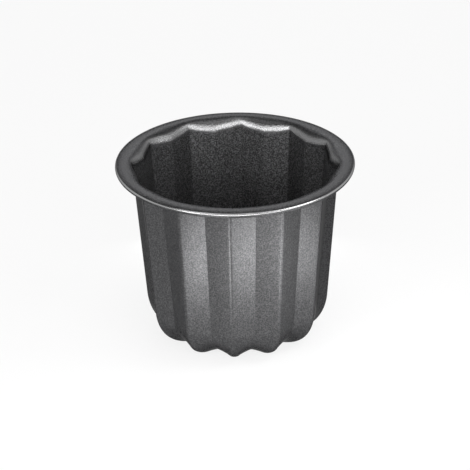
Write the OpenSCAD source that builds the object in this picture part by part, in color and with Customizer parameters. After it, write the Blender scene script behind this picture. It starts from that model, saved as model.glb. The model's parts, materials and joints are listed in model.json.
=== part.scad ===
// Fluted cake mould, pressed from one disc of coated sheet steel.
// Tall tapered wall with faceted flutes, rounded base corner, flat base,
// domed flange and an edge that is rolled under into a hollow bead.
// Millimetres. The base rests on z = 0 and the axis is Z.

/* [Overall] */
// Diameter over the rolled rim
rim_d = 160; // [130:1:220]
// Height from the table to the crest of the flange
mould_h = 126; // [90:1:170]
// Thickness of the coated sheet
sheet_t = 0.8; // [0.5:0.05:1.2]

/* [Wall and flutes] */
// Distance from the rim's edge in to the ridges of the wall
flange_w = 10.3; // [9:0.1:12.5]
// Slope of the wall from the vertical, in degrees
wall_taper = 4.65; // [2:0.05:7]
// Number of flutes round the wall
flutes = 12; // [9:1:16]
// Depth of the flutes at the flange
flute_depth_top = 4.1; // [2.5:0.1:6]
// Depth of the flutes at the base
flute_depth_base = 5.1; // [2.5:0.1:7]
// Radius on the outside of each ridge
ridge_round = 3.2; // [1.5:0.1:5]
// Radius on the outside of each valley
valley_round = 1.8; // [0.8:0.1:4]
// Turn of the ridge nearest the front, in degrees
flute_turn = -3.4; // [-15:0.1:15]

/* [Base corner] */
// Height at which the ridges start to turn in to the base
corner_ridge_h = 26.6; // [16:0.2:36]
// Distance by which the ridges turn in
corner_ridge_in = 16.1; // [8:0.1:26]
// Height at which the valleys start to turn in to the base
corner_valley_h = 23; // [14:0.2:36]
// Distance by which the valleys turn in
corner_valley_in = 35.3; // [24:0.1:38]

/* [Flange and rim] */
// Distance from the rim's edge in to the crest of the flange
crest_in = 5.6; // [4:0.1:6]
// Radius of the flange's dome, seen in section
dome_r = 13.6; // [12:0.1:30]
// Radius of the lip where the flange turns down into a ridge
lip_ridge_r = 4.8; // [1.8:0.1:5.2]
// Radius of the lip where the flange turns down into a valley
lip_valley_r = 10; // [5:0.1:10.5]
// Radius of the rolled bead at the outer edge
bead_r = 1.7; // [1.4:0.1:2.2]

/* [Hidden] */

// Steps along each stretch of the section, and round each half flute
BEAD_STEPS = 6;
DOME_STEPS = 1;
LIP_STEPS = 4;
CORNER_STEPS = 6;
ROUND_STEPS = 2;
FACET_STEPS = 2;
// Tilt of the sheet, measured from the flange's crest, where the rolled edge ends
CURL_END = -285;

half_a = 180 / flutes;
crest_r = rim_d / 2 - crest_in;
dome_c = [crest_r, mould_h - dome_r];
ridge_top = rim_d / 2 - flange_w;
ridge_base = ridge_top - mould_h * tan(wall_taper);
valley_top = ridge_top - flute_depth_top;
valley_base = ridge_base - flute_depth_base;
bead_tilt = -asin((crest_in - bead_r) / (dome_r - bead_r));
bead_c = dome_c + (dome_r - bead_r) * [-sin(bead_tilt), cos(bead_tilt)];

function unit(v) = v / norm(v);
function steps(from, to, count) = [for (i = [1:count]) from + (to - from) * i / count];

// ---- Section of the sheet through a ridge or a valley ----
// It runs from the rolled edge over the bead, the flange and the lip and down the wall to the base.
// Each entry is [r, z, nr, nz]: a point on the outer skin and the normal that leaves the sheet there.

// The sheet bent round centre c: its upper skin has the given radius, and tilt 0 is level
function bent(c, radius, tilt) =
    concat(c + (radius - sheet_t) * [-sin(tilt), cos(tilt)], [sin(tilt), -cos(tilt)]);

// Rise of the wall's radius with height, and the outer skin's radius at height z
function wall_slope(top, base) = (top - base) / mould_h;
function wall_r(top, base, z) = base + wall_slope(top, base) * z;

// Centre of the lip's arc, which touches the dome and the inner skin of the wall
function lip_centre(top, base, lip) =
    let (m = wall_slope(top, base),
         across = sqrt(1 + m * m),
         k = base + (lip - sheet_t) * across - crest_r,
         low = dome_c[1],
         b = m * k - low,
         z = (-b + sqrt(b * b - across * across * (k * k + low * low - pow(dome_r - lip, 2))))
             / (across * across))
    [crest_r + m * z + k, z];

// A lip is never wider than the room between the wall and the flange's crest
function lip_room(top, base, lip) = min(lip, crest_r - wall_r(top, base, mould_h - lip) + sheet_t);

rim_part = [for (tilt = concat([CURL_END], steps(CURL_END, bead_tilt, BEAD_STEPS))) bent(bead_c, bead_r, tilt),
            for (tilt = steps(bead_tilt, 0, DOME_STEPS)) bent(dome_c, dome_r, tilt)];

function lip_part(top, base, lip) =
    let (c = lip_centre(top, base, lip),
         start = asin((crest_r - c[0]) / (dome_r - lip)),
         stop = 90 - atan(wall_slope(top, base)))
    [for (tilt = steps(0, start, DOME_STEPS)) bent(dome_c, dome_r, tilt),
     for (tilt = steps(start, stop, LIP_STEPS)) bent(c, lip, tilt)];

function corner_part(top, base, h, in) =
    [for (a = concat([0], steps(0, 90, CORNER_STEPS)))
        let (z = h * (1 - sin(a)),
             n = unit([h * cos(a), -wall_slope(top, base) * h * cos(a) - in * sin(a)]))
        [wall_r(top, base, z) - in * (1 - cos(a)), z, n[0], n[1]]];

function section(top, base, lip, h, in) =
    concat(rim_part, lip_part(top, base, lip_room(top, base, lip)), corner_part(top, base, h, in));

// ---- Outline of half a flute, from its ridge to its valley ----

// Flat between radii rr and rv, with the ridge rounded by cr and the valley by cv, in the XY plane
function half_flute(rr, rv, cr, cv) =
    let (mid_line = [cos(half_a), sin(half_a)],
         ridge = [rr, 0],
         valley = rv * mid_line,
         along = unit(valley - ridge),
         turn = atan2(-along[0], along[1]),
         rest = half_a - turn,
         ridge_c = [rr - cr / cos(turn), 0],
         valley_c = (rv + cv / cos(rest)) * mid_line,
         from = ridge + along * cr * tan(turn),
         to = valley + along * cv * tan(rest))
    [for (a = concat([0], steps(0, turn, ROUND_STEPS))) ridge_c + cr * [cos(a), sin(a)],
     for (i = [1:1:FACET_STEPS - 1]) from + (to - from) * i / FACET_STEPS,
     for (a = concat([turn], steps(turn, half_a, ROUND_STEPS))) valley_c - cv * [cos(a), sin(a)]];

LAST = 2 * ROUND_STEPS + FACET_STEPS;
RING = 2 * LAST * flutes;

// One ring of the shell, depth below the outer skin, at the entries p (ridge) and q (valley).
// star runs from 0, where the ring is a circle, to 1, where it is the full star of the wall.
function ring(p, q, depth, star) =
    let (rr = p[0] - depth * p[2],
         zr = p[1] - depth * p[3],
         rv = q[0] - depth * q[2],
         zv = q[1] - depth * q[3],
         half = star < 1
             ? half_flute(ridge_top, valley_top, ridge_round, valley_round)
             : half_flute(rr, rv, ridge_round - depth * p[2], valley_round + depth * q[2]),
         from = norm(half[0]),
         to = norm(half[LAST]))
    [for (f = [0:flutes - 1], i = [0:2 * LAST - 1])
        let (k = i <= LAST ? i : 2 * LAST - i,
             share = star * (norm(half[k]) - from) / (to - from) + (1 - star) * (1 - cos(180 * k / LAST)) / 2,
             r = star < 1 ? rr + (rv - rr) * share : norm(half[k]),
             off = star * atan2(half[k][1], half[k][0]) + (1 - star) * half_a * k / LAST,
             a = flute_turn - 90 + 2 * half_a * f + (i <= LAST ? off : 2 * half_a - off))
        [r * cos(a), r * sin(a), zr + (zv - zr) * share]];

// Faces of a shell of rings: down the outer skin, through the base, and back up the inner skin
function shell_faces(skin) =
    [for (s = [0:2 * skin - 1], i = [0:RING - 1])
        if (s != skin - 1)
        let (t = (s + 1) % (2 * skin), j = (i + 1) % RING)
        each [[s * RING + i, t * RING + j, t * RING + i], [s * RING + i, s * RING + j, t * RING + j]],
     [for (i = [0:RING - 1]) (skin - 1) * RING + i],
     [for (i = [RING - 1:-1:0]) skin * RING + i]];

module fluted_mould() {
    ridge = section(ridge_top, ridge_base, lip_ridge_r, corner_ridge_h, corner_ridge_in);
    valley = section(valley_top, valley_base, lip_valley_r, corner_valley_h, corner_valley_in);
    skin = len(ridge);
    rim = len(rim_part);
    lip = DOME_STEPS + LIP_STEPS;
    // How far each ring of the section has become a star
    stars = [for (s = [0:skin - 1]) min(max((s + 1 - rim) / lip, 0), 1)];
    points = [for (s = [0:skin - 1]) each ring(ridge[s], valley[s], 0, stars[s]),
              for (s = [skin - 1:-1:0]) each ring(ridge[s], valley[s], sheet_t, stars[s])];
    color("#55565a") polyhedron(points, shell_faces(skin), convexity = 10);
}

fluted_mould();
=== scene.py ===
"""Fluted cake mould: a pressed shell with a grained dark coating, on a plain pale floor.

Run as a script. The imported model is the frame: the shell is drawn again from the same sizes as a
finer mesh that stands for the CAD node, and everything is in metres with the base on z = 0.
"""

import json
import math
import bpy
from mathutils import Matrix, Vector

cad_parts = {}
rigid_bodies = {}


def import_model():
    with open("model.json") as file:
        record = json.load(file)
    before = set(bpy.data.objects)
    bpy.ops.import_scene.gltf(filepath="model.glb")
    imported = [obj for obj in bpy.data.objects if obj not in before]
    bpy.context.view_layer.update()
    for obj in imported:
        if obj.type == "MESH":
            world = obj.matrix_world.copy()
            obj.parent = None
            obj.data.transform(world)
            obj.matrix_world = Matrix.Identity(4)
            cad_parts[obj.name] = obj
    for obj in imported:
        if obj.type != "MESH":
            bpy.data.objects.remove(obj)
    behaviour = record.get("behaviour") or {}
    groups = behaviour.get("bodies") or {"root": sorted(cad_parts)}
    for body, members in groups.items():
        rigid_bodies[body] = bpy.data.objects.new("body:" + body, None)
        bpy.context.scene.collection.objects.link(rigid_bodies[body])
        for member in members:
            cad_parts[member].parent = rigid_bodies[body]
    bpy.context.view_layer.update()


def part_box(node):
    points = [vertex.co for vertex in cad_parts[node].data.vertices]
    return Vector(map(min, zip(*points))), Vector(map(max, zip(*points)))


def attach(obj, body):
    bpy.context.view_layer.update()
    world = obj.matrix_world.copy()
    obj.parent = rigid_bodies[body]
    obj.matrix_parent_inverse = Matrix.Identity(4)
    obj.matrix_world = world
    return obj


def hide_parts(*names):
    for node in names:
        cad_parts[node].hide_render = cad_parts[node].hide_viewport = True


bl_info = {
    "name": "Fluted Cake Mould",
    "version": (1, 0, 0),
    "blender": (4, 5, 0),
    "location": "View3D > Sidebar > Cake Mould",
    "description": "Draws a fluted cake mould with a dark grained coating, and its stage",
    "category": "Object",
}

import bmesh
import bpy
from bpy.props import FloatProperty, FloatVectorProperty, IntProperty, PointerProperty
from mathutils import Euler, Matrix, Vector

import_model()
NODE = "fluted_mould"
NODE_LOW, NODE_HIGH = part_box(NODE)
MM = 0.001


# ---- What a user may change ----


def length_prop(name, text, value):
    """A length in metres, given in millimetres."""
    return FloatProperty(
        name=name, description=text, default=value * MM, min=0, unit="LENGTH", precision=5
    )


def angle_prop(name, text, degrees):
    """An angle in radians, given in degrees."""
    return FloatProperty(
        name=name, description=text, default=math.radians(degrees), subtype="ANGLE"
    )


def factor_prop(name, text, value):
    """A share between 0 and 1."""
    return FloatProperty(
        name=name, description=text, default=value, min=0, max=1, subtype="FACTOR"
    )


def colour_prop(name, text, value):
    """A colour."""
    return FloatVectorProperty(
        name=name, description=text, default=value, min=0, max=1, subtype="COLOR"
    )


class MouldSizes(bpy.types.PropertyGroup):
    """Sizes of the pressed shell."""

    rim_d: length_prop(
        "Rim diameter", "Diameter over the rolled rim", (NODE_HIGH[0] - NODE_LOW[0]) / MM
    )
    height: length_prop(
        "Height",
        "Height from the table to the crest of the flange",
        (NODE_HIGH[2] - NODE_LOW[2]) / MM,
    )
    sheet_t: length_prop("Sheet thickness", "Thickness of the coated sheet", 0.8)
    flange_w: length_prop(
        "Flange width", "Distance from the rim's edge in to the ridges of the wall", 10.3
    )
    wall_taper: angle_prop("Wall taper", "Slope of the wall from the vertical", 4.65)
    flutes: IntProperty(
        name="Flutes", description="Number of flutes round the wall", default=12, min=6, max=24
    )
    depth_top: length_prop("Flute depth, top", "Depth of the flutes at the flange", 4.1)
    depth_base: length_prop("Flute depth, base", "Depth of the flutes at the base", 5.1)
    ridge_round: length_prop("Ridge radius", "Radius on the outside of each ridge", 3.2)
    valley_round: length_prop("Valley radius", "Radius on the outside of each valley", 1.8)
    flute_turn: angle_prop("Flute turn", "Turn of the ridge nearest the front", -3.4)
    corner_ridge_h: length_prop(
        "Corner height, ridge", "Height at which the ridges start to turn in to the base", 26.6
    )
    corner_ridge_in: length_prop(
        "Corner reach, ridge", "Distance by which the ridges turn in", 16.1
    )
    corner_valley_h: length_prop(
        "Corner height, valley", "Height at which the valleys start to turn in to the base", 23
    )
    corner_valley_in: length_prop(
        "Corner reach, valley", "Distance by which the valleys turn in", 35.3
    )
    crest_in: length_prop(
        "Crest inset", "Distance from the rim's edge in to the crest of the flange", 5.6
    )
    dome_r: length_prop("Flange dome", "Radius of the flange's dome, seen in section", 13.6)
    lip_ridge_r: length_prop(
        "Lip radius, ridge", "Radius where the flange turns down into a ridge", 4.8
    )
    lip_valley_r: length_prop(
        "Lip radius, valley", "Radius where the flange turns down into a valley", 10
    )
    bead_r: length_prop("Bead radius", "Radius of the rolled bead at the outer edge", 1.7)


class CoatingLook(bpy.types.PropertyGroup):
    """Colours, gloss and grain of the coating, and a painted highlight on its rolled edge and lip.
    """

    tint: colour_prop(
        "Coating colour",
        "Colour of the coating between its brightest flakes",
        (0.062, 0.062, 0.064),
    )
    flake: colour_prop(
        "Flake colour",
        "Colour of the brightest metal flakes in the coating",
        (0.142, 0.142, 0.145),
    )
    inside_tint: colour_prop(
        "Inside colour",
        "Colour of the inner wall's coating between its brightest flakes",
        (0.038, 0.038, 0.039),
    )
    inside_flake: colour_prop(
        "Inside flake colour",
        "Colour of the brightest metal flakes on the inner wall",
        (0.17, 0.17, 0.173),
    )
    # Painted highlight: a lighter colour laid on the rolled edge's top and round the lip, where
    # the lamps in front catch them.
    worn: colour_prop(
        "Worn colour",
        "Colour of the coating where the rolled edge and the lip are rubbed smooth",
        (0.34, 0.34, 0.342),
    )
    edge_tint: colour_prop(
        "Glancing colour",
        "Tint of the metal flakes when they are seen at a glancing angle",
        (0.25, 0.25, 0.25),
    )
    roughness: factor_prop("Roughness", "Roughness of the flake layer", 0.38)
    # Lower roughness on the same bands that carry the painted highlight.
    worn_roughness: factor_prop(
        "Worn roughness", "Roughness where the coating is rubbed smooth", 0.24
    )
    inside_roughness: factor_prop(
        "Inside roughness", "Roughness of the inner wall's coating", 0.58
    )
    inside_grain: FloatProperty(
        name="Inside grain",
        description="Depth of the grain on the inner wall, as a share of the rest",
        default=4.5,
        min=0,
    )
    skin: factor_prop("Clear skin", "Share of the clear skin over the flakes", 0.1)
    skin_roughness: factor_prop("Skin roughness", "Roughness of the clear skin", 0.27)
    grain: length_prop("Grain size", "Width of one grain of the coating", 0.9)
    grain_depth: length_prop("Grain depth", "Depth of the coating's grain", 0.055)
    patch: length_prop("Patch size", "Width of one slightly duller or glossier patch", 25)


class StageLook(bpy.types.PropertyGroup):
    """Floor, backdrop and lamps."""

    floor: colour_prop("Floor colour", "Colour of the plain floor", (0.9, 0.9, 0.9))
    ambient: FloatProperty(
        name="Fill", description="Strength of the soft light from all round", default=0.35, min=0
    )
    lamps: FloatProperty(
        name="Lamps", description="Strength of all lamps together", default=1, min=0
    )


# ---- Section of the sheet through a ridge or a valley ----
# From the rolled edge over the bead, the flange and the lip, down the wall and in along the base
# corner. Each entry is (r, z), a point of the sheet's under skin.

# Steps of the drawn mesh along each stretch of the section
BEAD_STEPS = 20
DOME_STEPS = 3
LIP_STEPS = 9
WALL_STEPS = 5
CORNER_STEPS = 16
BASE_STEPS = 3
CURL_END = math.radians(-285)  # tilt of the sheet where the rolled edge ends
SETTLE = 2 * MM  # height over which the smooth shading settles from the lip to the wall


def steps(start, stop, count):
    """The count values after start, evenly spaced, that end at stop."""
    return [start + (stop - start) * i / count for i in range(1, count + 1)]


def bent(centre, radius, tilt):
    """A point of the sheet bent round centre; tilt 0 is level, and it falls out to the rim."""
    return centre[0] - radius * math.sin(tilt), centre[1] + radius * math.cos(tilt)


def dome_centre(size):
    """Centre of the flange's dome, below its crest."""
    return size.rim_d / 2 - size.crest_in, size.height - size.dome_r


def wall_radius(size, valley, z):
    """Radius of the wall's outer skin at height z, ridge or valley, and how fast it grows."""
    ridge_top = size.rim_d / 2 - size.flange_w
    top = ridge_top - (size.depth_top if valley else 0)
    drop = size.height * math.tan(size.wall_taper)
    base = ridge_top - drop - (size.depth_base if valley else 0)
    slope = (top - base) / size.height
    return base + slope * z, slope


def rim_section(size):
    """The rolled bead, from its cut edge, and the outer half of the flange."""
    crest = dome_centre(size)
    join = -math.asin((size.crest_in - size.bead_r) / (size.dome_r - size.bead_r))
    middle = bent(crest, size.dome_r - size.bead_r, join)
    bead_tilts = [CURL_END] + steps(CURL_END, join, BEAD_STEPS)
    dome_tilts = steps(join, 0, DOME_STEPS)
    return [bent(middle, size.bead_r - size.sheet_t, tilt) for tilt in bead_tilts] + [
        bent(crest, size.dome_r - size.sheet_t, tilt) for tilt in dome_tilts
    ]


def lip_section(size, valley):
    """The inner half of the flange and the lip, whose arc touches the dome and the wall."""
    crest = dome_centre(size)
    lip = size.lip_valley_r if valley else size.lip_ridge_r
    # A lip is never wider than the room between the wall and the flange's crest
    lip = min(lip, crest[0] - wall_radius(size, valley, size.height - lip)[0] + size.sheet_t)
    base, slope = wall_radius(size, valley, 0)
    across = math.hypot(1, slope)
    reach = base + (lip - size.sheet_t) * across - crest[0]
    half = crest[1] - slope * reach
    apart = reach**2 + crest[1] ** 2 - (size.dome_r - lip) ** 2
    z = (half + math.sqrt(half**2 - across**2 * apart)) / across**2
    middle = (crest[0] + slope * z + reach, z)
    start = math.asin((crest[0] - middle[0]) / (size.dome_r - lip))
    stop = math.pi / 2 - math.atan(slope)
    dome_tilts, lip_tilts = steps(0, start, DOME_STEPS), steps(start, stop, LIP_STEPS)
    return [bent(crest, size.dome_r - size.sheet_t, tilt) for tilt in dome_tilts] + [
        bent(middle, lip - size.sheet_t, tilt) for tilt in lip_tilts
    ]


def wall_section(size, valley, top):
    """The wall below height top, and the rounded corner down to the base."""
    high = size.corner_valley_h if valley else size.corner_ridge_h
    reach = size.corner_valley_in if valley else size.corner_ridge_in
    heights = [top - SETTLE] + steps(top - SETTLE, high, WALL_STEPS)
    points = [(wall_radius(size, valley, z)[0], z) for z in heights]
    for turn in steps(0, math.pi / 2, CORNER_STEPS):
        z = high * (1 - math.sin(turn))
        points.append((wall_radius(size, valley, z)[0] - reach * (1 - math.cos(turn)), z))
    return points


# ---- Rows across half a flute, from its ridge to its valley ----

# Steps of the drawn mesh round each half ridge or valley, and across the facet between them
ROUND_STEPS = 4
FACET_STEPS = 6


def half_flute(size, ridge_r, valley_r):
    """The outline from above: a flat facet between a rounded ridge and a rounded valley."""
    half = math.pi / size.flutes
    mid_line = Vector((math.cos(half), math.sin(half)))
    ridge, valley = Vector((ridge_r, 0)), valley_r * mid_line
    along = (valley - ridge).normalized()
    turn = math.atan2(-along.x, along.y)
    rest = half - turn
    out, hollow = size.ridge_round, size.valley_round
    ridge_c = Vector((ridge_r - out / math.cos(turn), 0))
    valley_c = (valley_r + hollow / math.cos(rest)) * mid_line
    start = ridge + along * out * math.tan(turn)
    stop = valley + along * hollow * math.tan(rest)
    ridge_turns = [0] + steps(0, turn, ROUND_STEPS)
    valley_turns = [turn] + steps(turn, half, ROUND_STEPS)
    return (
        [ridge_c + out * Vector((math.cos(a), math.sin(a))) for a in ridge_turns]
        + [start + (stop - start) * i / FACET_STEPS for i in range(1, FACET_STEPS)]
        + [valley_c - hollow * Vector((math.cos(a), math.sin(a))) for a in valley_turns]
    )


def flute_row(size, ridge, valley, star):
    """One row of points across half a flute; star runs from 0, a circle, to 1, the full star."""
    top = [wall_radius(size, is_valley, size.height)[0] for is_valley in (False, True)]
    outline = half_flute(size, *(top if star < 1 else (ridge[0], valley[0])))
    row = []
    for point in outline:
        angle = math.atan2(point.y, point.x)
        fall = (outline[0].length - point.length) / (outline[0].length - outline[-1].length)
        wave = (1 - math.cos(size.flutes * angle)) / 2
        share = star**3 * fall + (1 - star**3) * wave
        radius = ridge[0] + (valley[0] - ridge[0]) * share if star < 1 else point.length
        z = ridge[1] + (valley[1] - ridge[1]) * share
        row.append(Vector((radius * math.cos(angle), radius * math.sin(angle), z)))
    return row


def flute_rows(size):
    """All rows of half a flute, from the cut edge of the bead to the middle of the base."""
    lips = [lip_section(size, valley) for valley in (False, True)]
    walls = [wall_section(size, valley, lip[-1][1]) for valley, lip in zip((False, True), lips)]
    rows = [flute_row(size, point, point, 0) for point in rim_section(size)]
    rows += [flute_row(size, *pair, i / len(lips[0])) for i, pair in enumerate(zip(*lips), 1)]
    rows += [flute_row(size, *pair, 1) for pair in zip(*walls)]
    edge = rows[-1]
    return rows + [[point * share for point in edge] for share in steps(1, 0, BASE_STEPS)]


# ---- Modelling ----

MERGE = 0.002 * MM  # points nearer than this are one
SHARP = math.radians(40)  # edges that turn more than this stay sharp: the cut edge's


def deselect():
    """Leave no object selected, as an operator acts on all that is."""
    for obj in bpy.context.view_layer.objects:
        obj.select_set(False)


def pick(bm, verts):
    """Select just these vertices, and the edges between them."""
    for vert in bm.verts:
        vert.select = False
    for vert in verts:
        vert.select = True
    bm.select_flush_mode()


def shape_row(mesh, points, place):
    """Move the selected row's vertices, in the order of place, to points, and keep it selected."""
    bm = bmesh.from_edit_mesh(mesh)
    row = sorted((vert for vert in bm.verts if vert.select), key=place)
    for vert, point in zip(row, points, strict=True):
        pick(bm, [vert])
        bpy.ops.transform.translate(value=point - vert.co)
    pick(bm, row)


def draw_half_flute(rows, width):
    """A strip of mesh through these rows, the first two from a grid and the rest by extruding."""
    count = len(rows[0])
    bpy.ops.mesh.primitive_grid_add(
        x_subdivisions=count - 1, y_subdivisions=1, size=width, enter_editmode=True
    )
    strip = bpy.context.object
    bm = bmesh.from_edit_mesh(strip.data)
    grid = sorted(bm.verts, key=lambda vert: (vert.co.y > 0, vert.co.x))
    for first, points in zip((0, count), rows):
        pick(bm, grid[first : first + count])
        shape_row(strip.data, points, grid.index)
    for above, points in zip(rows[1:], rows[2:]):
        bpy.ops.mesh.extrude_region_move(
            TRANSFORM_OT_translate={"value": points[0] - above[0]}
        )
        shape_row(strip.data, points, lambda vert: vert.index)
    bpy.ops.object.mode_set(mode="OBJECT")
    return strip


def repeat_round(obj, count):
    """Repeat a flute round the axis, and join the copies to one skin that faces out and down."""
    bpy.ops.object.mode_set(mode="EDIT")
    bpy.ops.mesh.select_all(action="SELECT")
    for _ in range(count - 1):
        bpy.ops.mesh.duplicate()
        bpy.ops.transform.rotate(
            value=math.tau / count, orient_axis="Z", center_override=(0, 0, 0)
        )
    bpy.ops.mesh.select_all(action="SELECT")
    bpy.ops.mesh.remove_doubles(threshold=MERGE)
    bpy.ops.mesh.normals_make_consistent(inside=False)
    bm = bmesh.from_edit_mesh(obj.data)
    centres = {face: face.calc_center_median() for face in bm.faces}
    base = min(centres, key=lambda face: centres[face].xy.length + centres[face].z)
    if base.normal.z > 0:
        bpy.ops.mesh.flip_normals()
    bpy.ops.object.mode_set(mode="OBJECT")


def apply(obj, kind, **settings):
    """Add a modifier with these settings and apply it."""
    mod = obj.modifiers.new(kind.title(), kind)
    for name, value in settings.items():
        setattr(mod, name, value)
    bpy.ops.object.modifier_apply(modifier=mod.name)


class CAKE_OT_shell(bpy.types.Operator):
    """Draw the pressed shell row by row, from its rolled edge down to its base"""

    bl_idname = "cake.shell"
    bl_label = "Fluted Shell"

    def execute(self, context):
        size = context.scene.mould_sizes
        deselect()
        shell = draw_half_flute(flute_rows(size), size.rim_d / 2)
        shell.name = shell.data.name = "fluted_shell"
        apply(shell, "MIRROR", use_axis=(False, True, False), merge_threshold=MERGE)
        repeat_round(shell, size.flutes)
        shell.rotation_euler.z = size.flute_turn - math.pi / 2
        bpy.ops.object.transform_apply(location=False, rotation=True, scale=False)
        apply(
            shell,
            "SOLIDIFY",
            thickness=size.sheet_t,
            offset=-1,
            use_even_offset=True,
            use_quality_normals=True,
        )
        bpy.ops.object.shade_smooth_by_angle(angle=SHARP)
        shell.data.materials.append(coating(context.scene.coating_look, size))
        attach(shell, "root")
        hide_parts(NODE)
        return {"FINISHED"}


# ---- Material ----


class Value:
    """A number that changes over a surface: a node's output with Python's operators."""

    def __init__(self, shader, socket):
        self.shader, self.socket = shader, socket

    def maths(self, operation, *values):
        """One Math node with these inputs."""
        return self.shader.node("ShaderNodeMath", {"operation": operation}, *values)

    def __add__(self, other):
        return self.maths("ADD", self, other)

    def __sub__(self, other):
        return self.maths("SUBTRACT", self, other)

    def __rsub__(self, other):
        return self.maths("SUBTRACT", other, self)

    def __mul__(self, other):
        return self.maths("MULTIPLY", self, other)

    def __pow__(self, other):
        return self.maths("POWER", self, other)

    __radd__, __rmul__ = __add__, __mul__

    def most(self, other):
        """The larger of the two."""
        return self.maths("MAXIMUM", self, other)

    def over(self, low, high):
        """How far the value is between low and high, held to 0 and 1."""
        return self.shader.node("ShaderNodeMapRange", {"clamp": True}, self, low, high, 0, 1)

    def within(self, rise, fall):
        """1 between the two stretches, and 0 before the first and past the second."""
        return self.over(*rise) * (1 - self.over(*fall))


class Shader:
    """The nodes of one material or world."""

    def __init__(self, owner):
        owner.use_nodes = True
        self.tree = owner.node_tree
        self.tree.nodes.clear()

    def node(self, kind, settings=None, *values, output=None, **named):
        """A node of this kind, its settings set first; gives its first output or the one named.

        Its inputs are given by place or by their identifiers, with _ for a space.
        """
        node = self.tree.nodes.new(kind)
        for name, value in (settings or {}).items():
            setattr(node, name, value)
        inputs = {socket.identifier.replace(" ", "_"): socket for socket in node.inputs}
        for name, value in (dict(zip(inputs, values)) | named).items():
            if isinstance(value, Value):
                self.tree.links.new(value.socket, inputs[name])
            else:
                inputs[name].default_value = value
        outputs = {socket.identifier: socket for socket in node.outputs}
        return Value(self, outputs[output or next(iter(outputs))]) if outputs else node

    def mix(self, share, first, second):
        """Two colours mixed by share."""
        return self.node(
            "ShaderNodeMix",
            {"data_type": "RGBA"},
            Factor_Float=share,
            A_Color=first,
            B_Color=second,
            output="Result_Color",
        )

    def noise(self, where, width, fine):
        """Soft noise, 0.5 on average, with spots of this width and a share of finer ones."""
        return self.node(
            "ShaderNodeTexNoise", Vector=where, Scale=1 / width, Detail=2, Roughness=fine
        )

    def parts(self, vector):
        """The x, y and z of a vector."""
        return [self.node("ShaderNodeSeparateXYZ", None, vector, output=axis) for axis in "XYZ"]


def opaque(colour):
    """A colour with its alpha."""
    return *colour, 1


# Where each finish of the coating starts and where it is full, or has gone again. The bands on the
# rolled edge and round the lip carry a painted highlight. The tilt of a surface is the upward part
# of its normal: 0 on a wall and 1 on the level.
INWARD = (-20 * MM, -50 * MM)  # radius times the normal's outward part: the inner wall is below 0
INNER_TOP = (0.1, 0.2)  # tilt at which the inner wall gives way to the lip
# Band on the rolled edge's top, placed by tilt where the lamps in front catch it: painted
# highlight.
BEAD_IN = (2.4 * MM, 1.6 * MM)  # distance in from the rim's edge
BEAD_TILT = ((0.15, 0.35), (0.75, 0.9))
# Band round the lip, placed by depth and tilt where the lamps catch it: painted highlight.
LIP_IN = (8 * MM, 6.5 * MM)  # distance in from the rim's edge
LIP_DOWN = (13 * MM, 9 * MM)  # depth below the crest of the flange
LIP_TILT = ((0.15, 0.35), (0.65, 0.85))
LIP_PAINTED_HIGHLIGHT = 0.4  # how far the lip takes the painted highlight colour
LIP_GRAIN = 0.6  # how far the lip takes the inner wall's grain
FLAKES = (0.4, 0.7)  # noise between plain coating and full flake
INSIDE_FLAKES = (0.42, 0.66)
FLAKE_GLOSS = 0.12  # change of roughness from grain to grain
PATCH_GLOSS = 0.06  # change of roughness from patch to patch


def coating(look, size):
    """Dark coating with fine metal flakes, smoother and with a painted highlight on the rolled
    edge and round the lip.
    """
    material = bpy.data.materials.new("nonstick_coating")
    shader = Shader(material)
    where = shader.node("ShaderNodeTexCoord", output="Object")
    grain = shader.noise(where, look.grain, fine=0.6)
    patch = shader.noise(where, look.patch, fine=0.5)

    x, y, z = shader.parts(where)
    out_x, out_y, tilt = shader.parts(shader.node("ShaderNodeNewGeometry", output="Normal"))
    radius = (x**2 + y**2) ** 0.5
    rim = size.rim_d / 2
    inner = (x * out_x + y * out_y).over(*INWARD) * (1 - tilt.over(*INNER_TOP))
    # Bands on the rolled edge's top and round the lip, where lamps catch them: they take a painted
    # highlight colour and a lower roughness.
    bead = radius.over(*(rim - inset for inset in BEAD_IN)) * tilt.within(*BEAD_TILT)
    inside = 1 - radius.over(*(rim - inset for inset in LIP_IN))
    lip = inside * z.over(*(size.height - depth for depth in LIP_DOWN)) * tilt.within(*LIP_TILT)

    outer_colour = shader.mix(grain.over(*FLAKES), opaque(look.tint), opaque(look.flake))
    inner_colour = shader.mix(
        grain.over(*INSIDE_FLAKES), opaque(look.inside_tint), opaque(look.inside_flake)
    )
    colour = shader.mix(inner, outer_colour, inner_colour)
    skin = shader.node(
        "ShaderNodeBsdfPrincipled",
        # Painted highlight: the bead and lip bands are made lighter in colour.
        Base_Color=shader.mix(bead.most(lip * LIP_PAINTED_HIGHLIGHT), colour, opaque(look.worn)),
        Metallic=1,
        Roughness=look.roughness
        + (grain - 0.5) * FLAKE_GLOSS
        + (patch - 0.5) * PATCH_GLOSS
        + bead.most(lip) * (look.worn_roughness - look.roughness)
        + inner * (look.inside_roughness - look.roughness),
        Coat_Weight=look.skin,
        Coat_Roughness=look.skin_roughness,
        Specular_Tint=opaque(look.edge_tint),
        Normal=shader.node(
            "ShaderNodeBump",
            Strength=1,
            Distance=look.grain_depth,
            Height=grain * ((inner + lip * LIP_GRAIN) * (look.inside_grain - 1) + 1),
        ),
    )
    shader.node("ShaderNodeOutputMaterial", Surface=skin)
    return material


# ---- Stage ----

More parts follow.
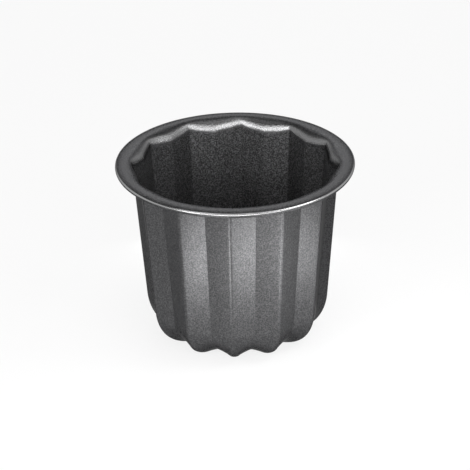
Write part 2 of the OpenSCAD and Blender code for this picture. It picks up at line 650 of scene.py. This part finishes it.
# Each soft lamp: azimuth from the front (+ to the right) and height angle in degrees, distance
# from the target and width in metres, and power in watts. The near ones stand round the mould just
# above the floor and light one side of each flute. The camera sees none of the lamps.
LAMPS = {
    "near_left": (-17.5, -17, 0.165, 0.045, 0.05),
    "near_front": (19, -17, 0.165, 0.045, 0.009),
    "near_right": (31, -17, 0.165, 0.045, 0.043),
    "near_side": (55, -17, 0.165, 0.045, 0.034),
    "near_edge": (70, -17, 0.165, 0.045, 0.004),
    "near_back_right": (166, -17, 0.165, 0.045, 0.045),
    "near_back_left": (-166, -17, 0.165, 0.045, 0.045),
    "low_front": (0, 10, 1, 0.3, 1.5),
    "left": (-40, 25, 1, 0.3, 2.4),
    "front_left": (-15, 25, 1, 0.3, 1.4),
    "front_right": (15, 25, 1, 0.3, 1.5),
    "right": (40, 25, 1, 0.3, 0.9),
    "high_side": (80, 50, 1, 0.4, 1.2),
    "over_left": (-40, 60, 0.25, 0.08, 0.07),
    "over_front": (0, 62, 0.25, 0.08, 0.042),
    "over_right": (40, 60, 0.25, 0.08, 0.06),
    "over_side": (60, 45, 0.25, 0.08, 0.15),
    "top": (0, 89, 1, 0.5, 1.4),
    "back": (180, 35, 1, 0.6, 1.9),
}
TARGET = Vector((-0.00081, 0, 0.070508))  # what the camera and the lamps look at
CAMERA_TILT = math.radians(26.558)
CAMERA_ROLL = math.radians(-1.017)
CAMERA_DISTANCE = 2.21597
LENS = 252.13  # focal length and sensor width in millimetres
SENSOR = 36
FLOOR_WIDTH = 30
FLOOR_WHITE = 0.8  # share of plain white in the floor that is seen; the rest shows the shadow
CEILING = (0.5, 0.72)  # height of a ray where the white backdrop gives way to a dark ceiling
WHITE = (1, 1, 1, 1)


def aim(obj, azimuth, height, distance):
    """Put a camera or lamp at these angles from the target, looking at it."""
    turn = Euler((math.pi / 2 - height, 0, azimuth)).to_matrix().to_4x4()
    obj.matrix_world = Matrix.Translation(TARGET) @ turn @ Matrix.Translation((0, 0, distance))


class CAKE_OT_stage(bpy.types.Operator):
    """Lay the floor and set the backdrop, the soft lamps and the camera"""

    bl_idname = "cake.stage"
    bl_label = "Stage"

    def execute(self, context):
        look = context.scene.stage_look
        deselect()
        bpy.ops.mesh.primitive_plane_add(size=FLOOR_WIDTH)
        floor = context.object
        floor.name = floor.data.name = "floor"
        floor.data.materials.append(self.floor_material(look))
        self.backdrop(context.scene, look)
        for name, (azimuth, height, distance, width, power) in LAMPS.items():
            bpy.ops.object.light_add(type="AREA")
            lamp = context.object
            lamp.name = lamp.data.name = name
            lamp.data.size = width
            lamp.data.energy = power * look.lamps
            lamp.visible_camera = False
            aim(lamp, math.radians(azimuth), math.radians(height), distance)
        bpy.ops.object.camera_add()
        camera = context.object
        camera.name = camera.data.name = "camera"
        camera.data.lens = LENS
        camera.data.sensor_width = SENSOR
        aim(camera, 0, CAMERA_TILT, CAMERA_DISTANCE)
        camera.matrix_world = camera.matrix_world @ Matrix.Rotation(CAMERA_ROLL, 4, "Z")
        context.scene.camera = camera
        context.scene.view_settings.view_transform = "Standard"
        return {"FINISHED"}

    @staticmethod
    def seen(shader):
        """1 for rays that see plain white: from the camera, from gloss and through glass."""
        camera, gloss, glass = (
            shader.node("ShaderNodeLightPath", output=name)
            for name in ("Is Camera Ray", "Is Glossy Ray", "Is Transmission Ray")
        )
        return camera.most(gloss).most(glass)

    def floor_material(self, look):
        """A plain pale floor that shows white and keeps the object's shadow."""
        material = bpy.data.materials.new("pale_floor")
        shader = Shader(material)
        matt = shader.node("ShaderNodeBsdfDiffuse", Color=opaque(look.floor))
        white = shader.node("ShaderNodeEmission", Color=WHITE, Strength=1)
        share = self.seen(shader) * FLOOR_WHITE
        surface = shader.node("ShaderNodeMixShader", None, share, matt, white)
        shader.node("ShaderNodeOutputMaterial", Surface=surface)
        return material

    def backdrop(self, scene, look):
        """A white backdrop all round under a dark ceiling, dimmer as a light than as a view."""
        scene.world = bpy.data.worlds.new("backdrop")
        shader = Shader(scene.world)
        height = shader.parts(shader.node("ShaderNodeTexCoord", output="Generated"))[2]
        camera = shader.node("ShaderNodeLightPath", output="Is Camera Ray")
        wall = 1 - height.over(*CEILING) * (1 - camera)
        strength = self.seen(shader) * (wall - look.ambient) + look.ambient
        light = shader.node("ShaderNodeBackground", Color=WHITE, Strength=strength)
        shader.node("ShaderNodeOutputWorld", Surface=light)


# ---- Panel and start ----


class CAKE_PT_panel(bpy.types.Panel):
    """Sizes, looks and operators of the cake mould"""

    bl_label = "Fluted Cake Mould"
    bl_space_type = "VIEW_3D"
    bl_region_type = "UI"
    bl_category = "Cake Mould"

    def draw(self, context):
        for key in GROUPS:
            group = getattr(context.scene, key)
            box = self.layout.box()
            for name in group.__annotations__:
                box.prop(group, name)
        for operator in OPERATORS:
            self.layout.operator(operator.bl_idname)


GROUPS = {"mould_sizes": MouldSizes, "coating_look": CoatingLook, "stage_look": StageLook}
OPERATORS = (CAKE_OT_shell, CAKE_OT_stage)
CLASSES = (*GROUPS.values(), *OPERATORS, CAKE_PT_panel)


def register():
    """Make the classes known to Blender, and give the scene its sizes and looks."""
    for cls in CLASSES:
        bpy.utils.register_class(cls)
    for name, group in GROUPS.items():
        setattr(bpy.types.Scene, name, PointerProperty(type=group))


def unregister():
    """Undo register."""
    for name in GROUPS:
        delattr(bpy.types.Scene, name)
    for cls in reversed(CLASSES):
        bpy.utils.unregister_class(cls)


def main():
    """Build the mould and its stage."""
    register()
    bpy.ops.cake.shell()
    bpy.ops.cake.stage()


if __name__ == "__main__":
    main()
